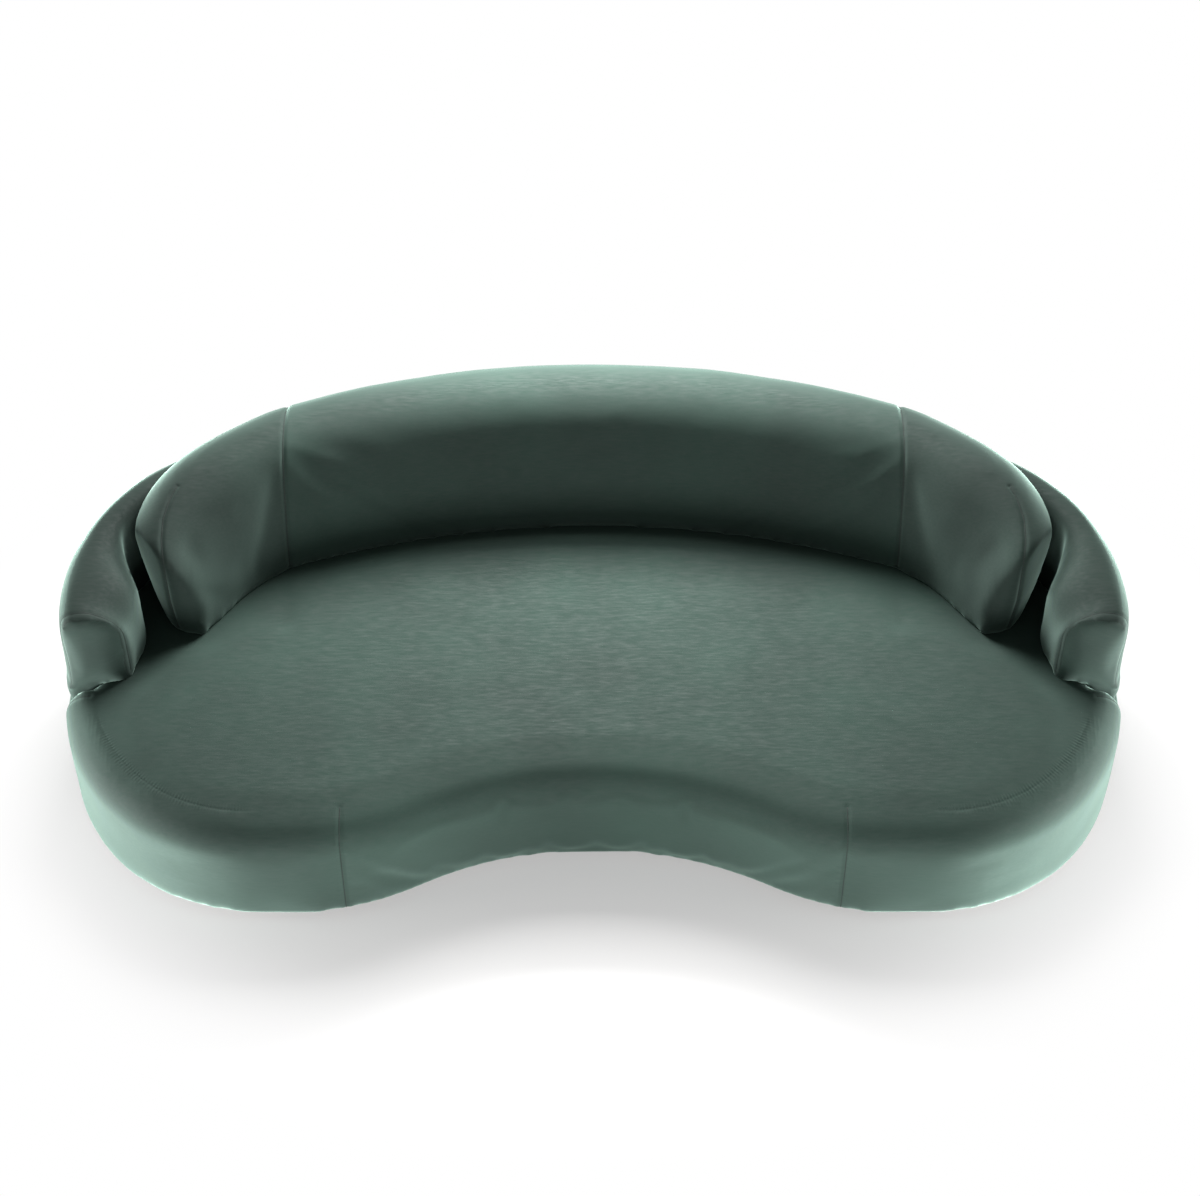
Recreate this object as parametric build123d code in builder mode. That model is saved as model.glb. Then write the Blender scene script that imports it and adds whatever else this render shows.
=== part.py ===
from build123d import *
from math import asin, atan2, cos, degrees, hypot, radians, sin, sqrt
import os

os.makedirs("parts", exist_ok=True)

# A kidney-shaped sofa: a deep base with a one-piece seat, a low wall that
# wraps round the back and ends in two fat arms, and a taller back whose
# ends stand free of the arms. -Y is the front, +Y the rear, +Z up, and the
# origin is on the floor under the middle.

# Overall sizes
overall_width = 2820
overall_depth = 1400
overall_height = 750
seat_height = 370
arm_below_back = 105

# Plan of the base: arcs that run into one another, with short straights between
back_arc_share = 0.797872
end_arc_radius = 580
side_straight = 79.15
front_straight = 120
inner_lobe_radius = 618
front_dip = 195
border_seam_step = 120

# Base
foot_height = 25
foot_radius = 35
foot_inset = 70
foot_taper = 4
foot_clearance = 1
lobe_foot_turn = 262
side_foot_turn = 200
dust_cover_thickness = 1.5
board = 18
rim_thickness = 12
wadding_thickness = 16
shoulder_radius = 90
seam_allowance = 2
seat_foam_thickness = 128
deck_margin = 150
rib_end = 490
rib_count = 5
rib_strip = 70
strap_width = 60
strap_pitch = 105
strap_thickness = 2
strap_clearance = 3
skirt_drop = 4

# Upholstery
cover = 3
ease = 0.3
wall_setback = 10
wall_thickness = 90
wall_start = 32
arm_front = -12
arm_round = 45
arm_roll = 110
arm_flat = 4
arm_full_width = 203
arm_width_shares = {arm_front: 0.926, 0: 0.985, 9: 1, 16: 0.837, 21: 0.640, 26: 0.483}

# Wall and back frame
ply = 20
ply_inset = 42
ply_start = 0
ply_below_arm = 70
ply_below_back = 95
rail_width = 36
rail_height = 25
post_width = 60
post_depth = 35
post_end = 230
post_count = 4

# Back cushion
back_round = 125
back_foot_depth = 338
back_foot_bow = 56
back_crown = 10
back_end_depth = 312
back_end_shares = (
    # turn, then shares of that depth: step in, depth, depth at the foot, drop, top radius
    (75, 0, 1, 1, 0.003, 0.394),
    (60, 0.128, 0.962, 0.962, 0.026, 0.372),
    (45, 0.231, 0.917, 0.897, 0.077, 0.327),
    (30, 0.378, 0.769, 0.625, 0.173, 0.263),
    (16, 0.571, 0.545, 0.263, 0.308, 0.186),
)

# Fasteners
screw_radius = 3
screw_head_radius = 6
screw_head_height = 4
screw_length = 29
screw_head_room = 1
bolt_radius = 4
bolt_head_radius = 7
bolt_head_height = 5.3
bolt_length = 70
hole_ease = 0.2

# Levels, from the floor up
half_width = overall_width / 2
half_depth = overall_depth / 2
arm_height = overall_height - arm_below_back
panel_z = foot_height + dust_cover_thickness
rim_z = panel_z + board
strap_layers = 2 * strap_thickness
deck_top = seat_height - cover - seat_foam_thickness - strap_layers
deck_z = deck_top - board
shoulder_z = seat_height - shoulder_radius
foam_inset = cover + ease
rim_inset = foam_inset + wadding_thickness + ease
border_z = panel_z - skirt_drop
roll_radius = shoulder_radius - seam_allowance
big = 2 * overall_width

# Centres of the plan's arcs, left half
back_arc_radius = back_arc_share * overall_width
back_foot_radius = back_arc_radius + back_foot_bow
back_centre = (0, half_depth - back_arc_radius)
end_x = -(half_width - end_arc_radius)
end_reach = back_arc_radius - end_arc_radius
end_y = back_centre[1] + sqrt(end_reach**2 - end_x**2)
lobe_radius = half_depth + end_y - side_straight
lobe_centre = (-(half_width - lobe_radius), lobe_radius - half_depth)
inner_lobe_x = half_width - lobe_radius - front_straight
inner_lobe_centre = (-inner_lobe_x, inner_lobe_radius - half_depth)
dip_radius = (inner_lobe_x**2 + front_dip**2) / (2 * front_dip) - inner_lobe_radius
dip_centre = (0, front_dip - half_depth - dip_radius)
back_seam_x = -end_x
border_seam_x = inner_lobe_x - border_seam_step


def polar(centre, radius, angle):
    """Point at a radius and an angle from a centre, angle in degrees from +X."""
    x = centre[0] + radius * cos(radians(angle))
    y = centre[1] + radius * sin(radians(angle))
    return (x, y)


def arc(centre, radius, start, end):
    """Arc about a centre, from one angle to another."""
    middle = (start + end) / 2
    points = [polar(centre, radius, angle) for angle in (start, middle, end)]
    return ThreePointArc(*points)


# Angles at which one arc hands over to the next
back_turn = degrees(atan2(end_y - back_centre[1], end_x))
dip_turn = degrees(atan2(inner_lobe_centre[1] - dip_centre[1], inner_lobe_centre[0]))


def kidney(inset):
    """The base's plan, drawn in by an inset."""
    side = -half_width + inset
    front = -half_depth + inset
    with BuildSketch(mode=Mode.PRIVATE) as outline:
        with BuildLine():
            arc(back_centre, back_arc_radius - inset, 90, back_turn)
            arc((end_x, end_y), end_arc_radius - inset, back_turn, 180)
            Line((side, end_y), (side, lobe_centre[1]))
            arc(lobe_centre, lobe_radius - inset, 180, 270)
            Line((lobe_centre[0], front), (-inner_lobe_x, front))
            arc(inner_lobe_centre, inner_lobe_radius - inset, 270, 180 + dip_turn)
            arc(dip_centre, dip_radius + inset, dip_turn, 90)
            mirror(about=Plane.YZ)
        make_face()
    return outline.sketch


def front_area(turn):
    """All the plan in front of two rays that leave the end arcs' centres at a turn."""
    ray = polar((end_x, end_y), big, 180 - turn)
    with BuildSketch(mode=Mode.PRIVATE) as area:
        with BuildLine():
            Polyline(
                (-end_x, end_y),
                (end_x, end_y),
                ray,
                (-big, -big),
                (big, -big),
                (-ray[0], ray[1]),
                close=True,
            )
        make_face()
    return area.sketch


def block(low, high):
    """A rectangle of the plan between two corners."""
    with BuildSketch(mode=Mode.PRIVATE) as area:
        with Locations(((low[0] + high[0]) / 2, (low[1] + high[1]) / 2)):
            Rectangle(high[0] - low[0], high[1] - low[1])
    return area.sketch


def ring(outer, inner, *left_out):
    """The plan between two insets, less some areas."""
    with BuildSketch(mode=Mode.PRIVATE) as band:
        add(kidney(outer))
        add(kidney(inner), mode=Mode.SUBTRACT)
        for area in left_out:
            add(area, mode=Mode.SUBTRACT)
    return band.sketch


def save(piece, name):
    """Label a finished piece and write it."""
    piece.part.label = name
    export_step(piece.part, f"parts/{name}.step")


def save_pair(piece, name):
    """Write a left-hand piece and its mirror image."""
    save(piece, f"{name}_left")
    with BuildPart() as twin:
        mirror(piece.part, about=Plane.YZ)
    save(twin, f"{name}_right")


# Areas of the plan that the seams divide
right_half = block((0, -big), (big, big))
front_panel = block((-border_seam_x, -big), (border_seam_x, 0))
rear_panel = block((-back_seam_x, 0), (back_seam_x, big))
behind_front = block((-big, 0), (big, big))
before_rear = block((-big, -big), (big, 0))
front_left_out = block((-big, -big), (-border_seam_x, 0))
front_right_out = block((border_seam_x, -big), (big, 0))
rear_left_out = block((-big, 0), (-back_seam_x, big))
rear_right_out = block((back_seam_x, 0), (big, big))

ring_areas = {
    "front": (behind_front, front_left_out, front_right_out),
    "rear": (before_rear, rear_left_out, rear_right_out),
    "left": (right_half, front_panel, rear_panel),
}


def base_band(name, outer, inner, bottom, top):
    """A band round the base in four lengths: front, rear, left and right."""
    for place, left_out in ring_areas.items():
        plan = ring(outer, inner, *left_out)
        with BuildPart() as band:
            with BuildSketch(Plane.XY.offset(bottom)):
                add(plan)
            extrude(amount=top - bottom)
        if place == "left":
            save_pair(band, name)
        else:
            save(band, f"{name}_{place}")


# Feet, set in from the edge where the lobes, the sides and the rear bear
lobe_foot = polar(lobe_centre, lobe_radius - foot_inset, lobe_foot_turn)
side_foot = polar(lobe_centre, lobe_radius - foot_inset, side_foot_turn)
rear_foot = polar((end_x, end_y), end_arc_radius - foot_inset, back_turn)
middle_front_foot = (0, front_dip - half_depth + foot_inset)
middle_rear_foot = (0, half_depth - foot_inset)
foot_places = [middle_front_foot, middle_rear_foot]
for x, y in (lobe_foot, side_foot, rear_foot):
    foot_places += [(x, y), (-x, y)]
recess_height = foot_height / 2

with BuildPart() as feet:
    with Locations(*foot_places):
        Cylinder(foot_radius, panel_z, align=(Align.CENTER, Align.CENTER, Align.MIN))
    rims = feet.edges().filter_by(GeomType.CIRCLE).group_by(Axis.Z)[0]
    chamfer(rims, length=foot_taper)
    with BuildSketch():
        with Locations(*foot_places):
            Circle(screw_head_radius + screw_head_room)
    extrude(amount=recess_height, mode=Mode.SUBTRACT)
    with BuildSketch():
        with Locations(*foot_places):
            Circle(screw_radius + hole_ease)
    extrude(amount=panel_z, mode=Mode.SUBTRACT)
save(feet, "feet")

screw_z = recess_height - screw_head_height
with BuildPart() as foot_screws:
    with BuildSketch(Plane.XY.offset(screw_z)):
        with Locations(*foot_places):
            Circle(screw_head_radius)
    extrude(amount=screw_head_height)
    with BuildSketch(Plane.XY.offset(screw_z)):
        with Locations(*foot_places):
            Circle(screw_radius)
    extrude(amount=screw_length)
save(foot_screws, "foot_screws")

# Bottom cloth, with holes for the feet
cloth_plan = kidney(rim_inset + rim_thickness)
with BuildPart() as dust_cover:
    with BuildSketch(Plane.XY.offset(foot_height)):
        add(cloth_plan)
        with Locations(*foot_places):
            Circle(foot_radius + foot_clearance, mode=Mode.SUBTRACT)
    extrude(amount=dust_cover_thickness)
save(dust_cover, "dust_cover")

# Bottom board, with pilot holes for the foot screws
board_plan = kidney(rim_inset)
with BuildPart() as base_panel:
    with BuildSketch(Plane.XY.offset(panel_z)):
        add(board_plan)
        with Locations(*foot_places):
            Circle(screw_radius + hole_ease, mode=Mode.SUBTRACT)
    extrude(amount=board)
save(base_panel, "base_panel")

# Bent rim between the bottom board and the deck, and the wadding outside it
base_band("base_rim", rim_inset, rim_inset + rim_thickness, rim_z, deck_z)
base_band("base_wadding", foam_inset, foam_inset + wadding_thickness, panel_z, deck_top)

# Upright ribs from front to rear inside the rim
rib_plan = kidney(rim_inset + rim_thickness)
rib_spacing = (overall_width - 2 * rib_end) / (rib_count - 1)
rib_places = [(index - (rib_count - 1) / 2) * rib_spacing for index in range(rib_count)]
for index, x in enumerate(rib_places):
    strip = block((x - board / 2, -big), (x + board / 2, big))
    with BuildPart() as base_rib:
        with BuildSketch(Plane.XY.offset(rim_z)):
            add(rib_plan)
            add(strip, mode=Mode.INTERSECT)
        extrude(amount=deck_z - rim_z)
    save(base_rib, f"base_rib_{index + 1}")

# Posts of the back stand on the deck against the bent board, one bolt under each
post_inset = ply_inset + ply
post_line = back_arc_radius - post_inset - ease - post_depth / 2
post_pitch = 2 * (back_seam_x - post_end) / (post_count - 1)
post_step = degrees(post_pitch / back_arc_radius)
post_turns = [90 + (index - (post_count - 1) / 2) * post_step for index in range(post_count)]
bolt_places = [polar(back_centre, post_line, turn) for turn in post_turns]

# Deck board with a window between each pair of ribs
window_plan = kidney(deck_margin)
with BuildSketch() as windows:
    add(window_plan)
    for x in rib_places:
        strip = block((x - rib_strip / 2, -big), (x + rib_strip / 2, big))
        add(strip, mode=Mode.SUBTRACT)
with BuildPart() as deck_panel:
    with BuildSketch(Plane.XY.offset(deck_z)):
        add(board_plan)
        add(windows.sketch, mode=Mode.SUBTRACT)
        with Locations(*bolt_places):
            Circle(bolt_radius + hole_ease, mode=Mode.SUBTRACT)
    extrude(amount=board)
save(deck_panel, "deck_panel")

# Elastic straps: one layer from front to rear, one from side to side over it
strap_plan = kidney(wall_setback + wall_thickness + strap_clearance)
strap_count_x = int((overall_width - 2 * deck_margin) / strap_pitch)
strap_count_y = int((overall_depth - 2 * deck_margin) / strap_pitch)
with BuildPart() as straps_front_to_rear:
    with BuildSketch(Plane.XY.offset(deck_top)):
        add(strap_plan)
        with GridLocations(strap_pitch, 0, strap_count_x, 1):
            Rectangle(strap_width, big, mode=Mode.INTERSECT)
    extrude(amount=strap_thickness)
save(straps_front_to_rear, "straps_front_to_rear")
with BuildPart() as straps_side_to_side:
    with BuildSketch(Plane.XY.offset(deck_top + strap_thickness)):
        add(strap_plan)
        with GridLocations(0, strap_pitch, 1, strap_count_y):
            Rectangle(big, strap_width, mode=Mode.INTERSECT)
    extrude(amount=strap_thickness)
save(straps_side_to_side, "straps_side_to_side")

# Seat: foam with a rolled front shoulder, notched for the wall
arms_front_y = polar((end_x, end_y), end_arc_radius, 180 - arm_front)[1]
wall_inner = wall_setback + wall_thickness
notch = ring(-foam_inset, wall_inner + ease, front_area(arm_front))


def seat_solid(inset, bottom, top, radius):
    """A flat pad of the seat's plan with its front top edge rolled over."""
    plan = kidney(inset)
    with BuildPart() as pad:
        with BuildSketch(Plane.XY.offset(bottom)):
            add(plan)
            add(notch, mode=Mode.SUBTRACT)
        extrude(amount=top - bottom)
        top_edges = pad.edges().group_by(Axis.Z)[-1]
        fillet([edge for edge in top_edges if edge.center().Y < arms_front_y], radius)
    return pad


seat_foam = seat_solid(
    foam_inset,
    deck_top + strap_layers,
    seat_height - foam_inset,
    shoulder_radius - foam_inset,
)
save(seat_foam, "seat_foam")

# Cover of the seat's top, sewn at the shoulder's upper edge to the border
seat_top_plan = kidney(shoulder_radius)
with BuildPart() as seat_cover:
    with BuildSketch(Plane.XY.offset(seat_height - cover)):
        add(seat_top_plan)
        add(notch, mode=Mode.SUBTRACT)
    extrude(amount=cover)
save(seat_cover, "seat_cover")

# Border covers: the band round the base, which rolls over the shoulder at the front
roll_outside = seat_solid(0, shoulder_z, seat_height, roll_radius)
roll_inside_plan = kidney(cover)
seat_hole_plan = kidney(shoulder_radius - ease)
with BuildPart() as roll_inside:
    with BuildSketch(Plane.XY.offset(shoulder_z)):
        add(roll_inside_plan)
    extrude(amount=seat_height - cover - shoulder_z)
    fillet(roll_inside.edges().group_by(Axis.Z)[-1], roll_radius - cover)
with BuildPart() as shoulder:
    add(roll_outside.part)
    add(roll_inside.part, mode=Mode.SUBTRACT)
    with BuildSketch(Plane.XY.offset(shoulder_z)):
        add(seat_hole_plan)
    extrude(amount=shoulder_radius, mode=Mode.SUBTRACT)

for place, left_out in ring_areas.items():
    band_plan = ring(0, cover, *left_out)
    with BuildPart() as border_cover:
        if place != "rear":
            add(shoulder.part)
            with BuildSketch(Plane.XY.offset(shoulder_z)):
                for area in left_out:
                    add(area)
            extrude(amount=shoulder_radius, mode=Mode.SUBTRACT)
        with BuildSketch(Plane.XY.offset(border_z)):
            add(band_plan)
        extrude(amount=shoulder_z - border_z)
    if place == "left":
        save_pair(border_cover, "border_cover")
    else:
        save(border_cover, f"border_cover_{place}")

# Bent boards inside the wall and the back
board_plan_rear = ring(ply_inset, ply_inset + ply, front_area(ply_start))
centre_area = block((-back_seam_x, -big), (back_seam_x, big))
right_of_seam = block((-back_seam_x, -big), (big, big))
side_board_top = arm_height - ply_below_arm
back_board_top = overall_height - ply_below_back

with BuildPart() as side_board:
    with BuildSketch(Plane.XY.offset(deck_top)):
        add(board_plan_rear)
        add(right_of_seam, mode=Mode.SUBTRACT)
    extrude(amount=side_board_top - deck_top)
save_pair(side_board, "side_board")

with BuildPart() as back_board:
    with BuildSketch(Plane.XY.offset(deck_top)):
        add(board_plan_rear)
        add(centre_area, mode=Mode.INTERSECT)
    extrude(amount=back_board_top - deck_top)
save(back_board, "back_board")

# Top rail on the bent board
rail_inset = ply_inset + ply / 2 - rail_width / 2
rail_plan = ring(rail_inset, rail_inset + rail_width, front_area(ply_start))
with BuildPart() as top_rail:
    with BuildSketch(Plane.XY.offset(back_board_top)):
        add(rail_plan)
        add(centre_area, mode=Mode.INTERSECT)
    extrude(amount=rail_height)
save(top_rail, "top_rail")

# Posts with blind holes for their bolts, and the bolts from under the deck
post_top = back_board_top
with BuildPart() as back_posts:
    for place, turn in zip(bolt_places, post_turns):
        with BuildSketch(Plane.XY.offset(deck_top)):
            with Locations(Location((*place, 0), (0, 0, turn))):
                Rectangle(post_depth, post_width)
        extrude(amount=post_top - deck_top)
    with BuildSketch(Plane.XY.offset(deck_top)):
        with Locations(*bolt_places):
            Circle(bolt_radius + hole_ease)
    extrude(amount=bolt_length, mode=Mode.SUBTRACT)
save(back_posts, "back_posts")

with BuildPart() as frame_bolts:
    with BuildSketch(Plane.XY.offset(deck_z - bolt_head_height)):
        with Locations(*bolt_places):
            RegularPolygon(bolt_head_radius, 6)
    extrude(amount=bolt_head_height)
    with BuildSketch(Plane.XY.offset(deck_z)):
        with Locations(*bolt_places):
            Circle(bolt_radius)
    extrude(amount=bolt_length)
save(frame_bolts, "frame_bolts")

# Wall behind the back's ends: a padded band with a round top, on a low plinth under the arm
wall_top_round = wall_thickness / 2 - ease


def wall_solid(inset, radius):
    """The left wall, from the arm to the back's seam, drawn in by an inset."""
    plan = ring(wall_setback + inset, wall_inner - inset, front_area(wall_start), right_of_seam)
    with BuildPart() as wall:
        with BuildSketch(Plane.XY.offset(deck_top)):
            add(plan)
        extrude(amount=arm_height - inset - deck_top)
        crests = wall.edges().group_by(Axis.Z)[-1]
        fillet([edge for edge in crests if edge.geom_type == GeomType.CIRCLE], radius)
    return wall


wall_space = wall_solid(-ease, wall_top_round)
wall_outside = wall_solid(0, wall_top_round)
wall_inside = wall_solid(cover, wall_top_round - cover)
wall_core = wall_solid(foam_inset, wall_top_round - foam_inset)
slot_plan = ring(ply_inset - ease, ply_inset + ply + ease, front_area(ply_start), right_of_seam)
with BuildPart() as side_slot:
    with BuildSketch(Plane.XY.offset(deck_top)):
        add(slot_plan)
    extrude(amount=side_board_top + ease - deck_top)


def plinth_plan(outer, inner):
    """Plan of the wall's low length under the left arm."""
    with BuildSketch(mode=Mode.PRIVATE) as band:
        add(ring(outer, inner, front_area(arm_front), right_of_seam))
        add(front_area(wall_start), mode=Mode.INTERSECT)
    return band.sketch


plinth_core = plinth_plan(wall_setback + foam_inset, wall_inner)
plinth_skin = plinth_plan(wall_setback, wall_setback + cover)

with BuildPart() as wall_pad:
    add(wall_core.part)
    with BuildSketch(Plane.XY.offset(deck_top)):
        add(plinth_core)
    extrude(amount=seat_height - deck_top)
    add(side_slot.part, mode=Mode.SUBTRACT)
save_pair(wall_pad, "wall_pad")

with BuildPart() as wall_cover:
    add(wall_outside.part)
    add(wall_inside.part, mode=Mode.SUBTRACT)
    with BuildSketch(Plane.XY.offset(deck_top)):
        add(plinth_skin)
    extrude(amount=seat_height - deck_top)
save_pair(wall_cover, "wall_cover")


def end_plane(turn):
    """Upright plane through the left end arc's centre: x runs outward, y up."""
    across = (-cos(radians(turn)), sin(radians(turn)), 0)
    along = (sin(radians(turn)), cos(radians(turn)), 0)
    return Plane(origin=(end_x, end_y, 0), x_dir=across, z_dir=along)


# Arms: fat at the front, thinning into the wall
wall_outer_radius = end_arc_radius - wall_setback
pad_z = seat_height + ease
arm_widths = {turn: share * arm_full_width for turn, share in arm_width_shares.items()}
arm_widths[wall_start] = wall_thickness


def arm_section(width, inset):
    """Upright section of an arm: straight outside, large roll on the inside."""
    outer = wall_outer_radius - inset
    inner = wall_outer_radius - width + inset
    top = arm_height - inset
    outer_round = arm_round - inset
    roll = min(arm_roll, width - arm_round - arm_flat) - inset
    with BuildSketch() as section:
        with BuildLine():
            Line((inner, pad_z), (outer, pad_z))
            Line((outer, pad_z), (outer, top - outer_round))
            arc((outer - outer_round, top - outer_round), outer_round, 0, 90)
            Line((outer - outer_round, top), (inner + roll, top))
            arc((inner + roll, top - roll), roll, 90, 180)
            Line((inner, top - roll), (inner, pad_z))
        make_face()
    return section.sketch


def arm_solid(inset):
    """The left arm, drawn in by an inset."""
    sections = {turn: arm_section(width, inset) for turn, width in arm_widths.items()}
    with BuildPart() as arm:
        for turn, section in sections.items():
            with BuildSketch(end_plane(turn)):
                add(section)
        loft()
    return arm


arm_core = arm_solid(foam_inset)
arm_outside = arm_solid(0)
arm_inside = arm_solid(cover)
with BuildPart() as arm_pad:
    add(arm_core.part)
    add(side_slot.part, mode=Mode.SUBTRACT)
save_pair(arm_pad, "arm_pad")

with BuildPart() as arm_cover:
    add(arm_outside.part)
    add(arm_inside.part, mode=Mode.SUBTRACT)
save_pair(arm_cover, "arm_cover")

arm_end_face = arm_section(arm_widths[arm_front], 0)
with BuildPart() as arm_end:
    with BuildSketch(end_plane(arm_front)):
        add(arm_end_face)
    extrude(amount=-cover)
save_pair(arm_end, "arm_end")

# Back: a leaning crowned front, a full-round top and a plain rear
end_stations = [
    (turn, *[share * back_end_depth for share in shares]) for turn, *shares in back_end_shares
]


def rear_y(x, inset):
    """Depth of the plan's rear line at a distance from the middle."""
    return back_centre[1] + sqrt((back_arc_radius - inset) ** 2 - x**2)


def tangent_lean(foot, centre, radius, side):
    """Lean from upright of a line from a foot to one side of the top round."""
    run = centre[0] - foot
    rise = centre[1] - pad_z
    return degrees(atan2(run, rise) + side * asin(radius / hypot(run, rise)))


def back_section(rear, depth, foot_depth, height, radius, inset):
    """Upright section of the back; rear is its outermost reach, x outward, y up."""
    front = rear - depth
    heel = front + foot_depth
    centre = (rear - radius, height - radius)
    lean = tangent_lean(front, centre, radius, -1)
    rear_lean = tangent_lean(heel, centre, radius, 1)
    top_round = radius - inset
    foot_front = (front + inset / cos(radians(lean)), pad_z)
    foot_rear = (heel - inset / cos(radians(rear_lean)), pad_z)
    front_top = polar(centre, top_round, 180 - lean)
    rear_top = polar(centre, top_round, -rear_lean)
    middle = ((foot_front[0] + front_top[0]) / 2, (foot_front[1] + front_top[1]) / 2)
    crown = polar(middle, back_crown, 180 - lean)
    with BuildSketch() as section:
        with BuildLine():
            Line(foot_front, foot_rear)
            Line(foot_rear, rear_top)
            arc(centre, top_round, -rear_lean, 90)
            arc(centre, top_round, 90, 180 - lean)
            ThreePointArc(front_top, crown, foot_front)
        make_face()
    return section.sketch


def across_plane(x):
    """Upright plane across the sofa: x runs to the rear, y up."""
    return Plane(origin=(x, 0, 0), x_dir=(0, 1, 0), z_dir=(1, 0, 0))


def back_centre_solid(inset):
    """The back between its two seams, drawn in by an inset."""
    places = [back_seam_x * share for share in (-1, -0.5, 0, 0.5, 1)]
    sections = []
    for x in places:
        rear = rear_y(x, wall_setback)
        front = rear_y(0, wall_setback) - back_foot_depth
        front -= back_foot_radius - sqrt(back_foot_radius**2 - x**2)
        depth = rear - front
        sections.append(back_section(rear, depth, depth, overall_height, back_round, inset))
    with BuildPart() as middle:
        for x, section in zip(places, sections):
            with BuildSketch(across_plane(x)):
                add(section)
        loft()
    return middle


back_end_plan = kidney(wall_setback)
with BuildPart() as back_end_room:
    with BuildSketch(Plane.XY.offset(pad_z)):
        add(back_end_plan)
        add(right_of_seam, mode=Mode.SUBTRACT)
    extrude(amount=overall_height)


def back_end_solid(inset):
    """The left end of the back, from its seam to its nose."""
    rear = rear_y(back_seam_x, wall_setback) - end_y
    front = rear_y(0, wall_setback) - back_foot_depth - end_y
    front -= back_foot_radius - sqrt(back_foot_radius**2 - back_seam_x**2)
    seam = back_section(rear, rear - front, rear - front, overall_height, back_round, inset)
    sections = {90: seam}
    for turn, step_in, depth, foot_depth, drop, radius in end_stations:
        reach = wall_outer_radius - step_in
        height = overall_height - drop
        sections[turn] = back_section(reach, depth, foot_depth, height, radius, inset)
    with BuildPart() as end:
        for turn, section in sections.items():
            with BuildSketch(end_plane(turn)):
                add(section)
        loft()
        add(back_end_room.part, mode=Mode.INTERSECT)
    return end


# Room in the back for the boards, the rail and the posts
with BuildPart() as back_slot:
    with BuildSketch(Plane.XY.offset(deck_top)):
        add(ring(ply_inset - ease, ply_inset + ply + ease, front_area(ply_start)))
        add(centre_area, mode=Mode.INTERSECT)
    extrude(amount=back_board_top + ease - deck_top)
    with BuildSketch(Plane.XY.offset(back_board_top)):
        add(ring(rail_inset - ease, rail_inset + rail_width + ease, front_area(ply_start)))
        add(centre_area, mode=Mode.INTERSECT)
    extrude(amount=rail_height + ease)
    for place, turn in zip(bolt_places, post_turns):
        with BuildSketch(Plane.XY.offset(deck_top)):
            with Locations(Location((*place, 0), (0, 0, turn))):
                Rectangle(post_depth + 2 * ease, post_width + 2 * ease)
        extrude(amount=post_top + ease - deck_top)

back_middle_core = back_centre_solid(foam_inset)
back_middle_outside = back_centre_solid(0)
back_middle_inside = back_centre_solid(cover)
with BuildPart() as back_pad_centre:
    add(back_middle_core.part)
    add(back_slot.part, mode=Mode.SUBTRACT)
save(back_pad_centre, "back_pad_centre")
with BuildPart() as back_cover_centre:
    add(back_middle_outside.part)
    add(back_middle_inside.part, mode=Mode.SUBTRACT)
save(back_cover_centre, "back_cover_centre")

# Lower rear, between the deck and the foot of the back
rear_core = ring(wall_setback + foam_inset, wall_inner, before_rear)
rear_skin = ring(wall_setback, wall_setback + cover, before_rear)
with BuildPart() as rear_pad:
    with BuildSketch(Plane.XY.offset(deck_top)):
        add(rear_core)
        add(centre_area, mode=Mode.INTERSECT)
    extrude(amount=seat_height - deck_top)
    add(back_slot.part, mode=Mode.SUBTRACT)
save(rear_pad, "rear_pad")
with BuildPart() as rear_cover:
    with BuildSketch(Plane.XY.offset(deck_top)):
        add(rear_skin)
        add(centre_area, mode=Mode.INTERSECT)
    extrude(amount=seat_height - deck_top)
save(rear_cover, "rear_cover")

back_end_core = back_end_solid(foam_inset)
back_end_outside = back_end_solid(0)
back_end_inside = back_end_solid(cover)
with BuildPart() as back_pad:
    add(back_end_core.part)
    add(wall_space.part, mode=Mode.SUBTRACT)
save_pair(back_pad, "back_pad")
with BuildPart() as back_cover:
    add(back_end_outside.part)
    add(back_end_inside.part, mode=Mode.SUBTRACT)
    add(wall_space.part, mode=Mode.SUBTRACT)
save_pair(back_cover, "back_cover")

# Sewn end of the back, facing the arm
nose = end_stations[-1]
nose_face = back_section(
    wall_outer_radius - nose[1], nose[2], nose[3], overall_height - nose[4], nose[5], 0
)
with BuildPart() as back_end_border:
    with BuildSketch(end_plane(nose[0])):
        add(nose_face)
    extrude(amount=-cover)
save_pair(back_end_border, "back_end_border")
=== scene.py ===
from math import atan2, cos, degrees, exp, pi, radians, sin

import bmesh
import bpy
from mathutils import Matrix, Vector, noise
from mathutils.bvhtree import BVHTree
from mathutils.kdtree import KDTree


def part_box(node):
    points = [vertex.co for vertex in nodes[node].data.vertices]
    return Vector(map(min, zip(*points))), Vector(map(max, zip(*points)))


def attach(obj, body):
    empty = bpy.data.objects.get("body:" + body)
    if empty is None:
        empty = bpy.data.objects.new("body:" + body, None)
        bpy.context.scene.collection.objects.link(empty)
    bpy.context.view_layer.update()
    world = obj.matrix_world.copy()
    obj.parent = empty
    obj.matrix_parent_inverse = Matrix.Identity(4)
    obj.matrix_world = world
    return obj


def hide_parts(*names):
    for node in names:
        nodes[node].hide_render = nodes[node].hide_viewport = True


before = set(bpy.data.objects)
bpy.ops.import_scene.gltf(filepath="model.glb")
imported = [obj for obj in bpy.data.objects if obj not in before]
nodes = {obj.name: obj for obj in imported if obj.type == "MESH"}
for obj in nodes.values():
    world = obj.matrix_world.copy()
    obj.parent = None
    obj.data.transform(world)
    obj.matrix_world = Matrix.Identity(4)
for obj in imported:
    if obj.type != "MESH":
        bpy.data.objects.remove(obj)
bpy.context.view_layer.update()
scene = bpy.context.scene
scene.view_settings.view_transform = "Standard"

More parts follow.
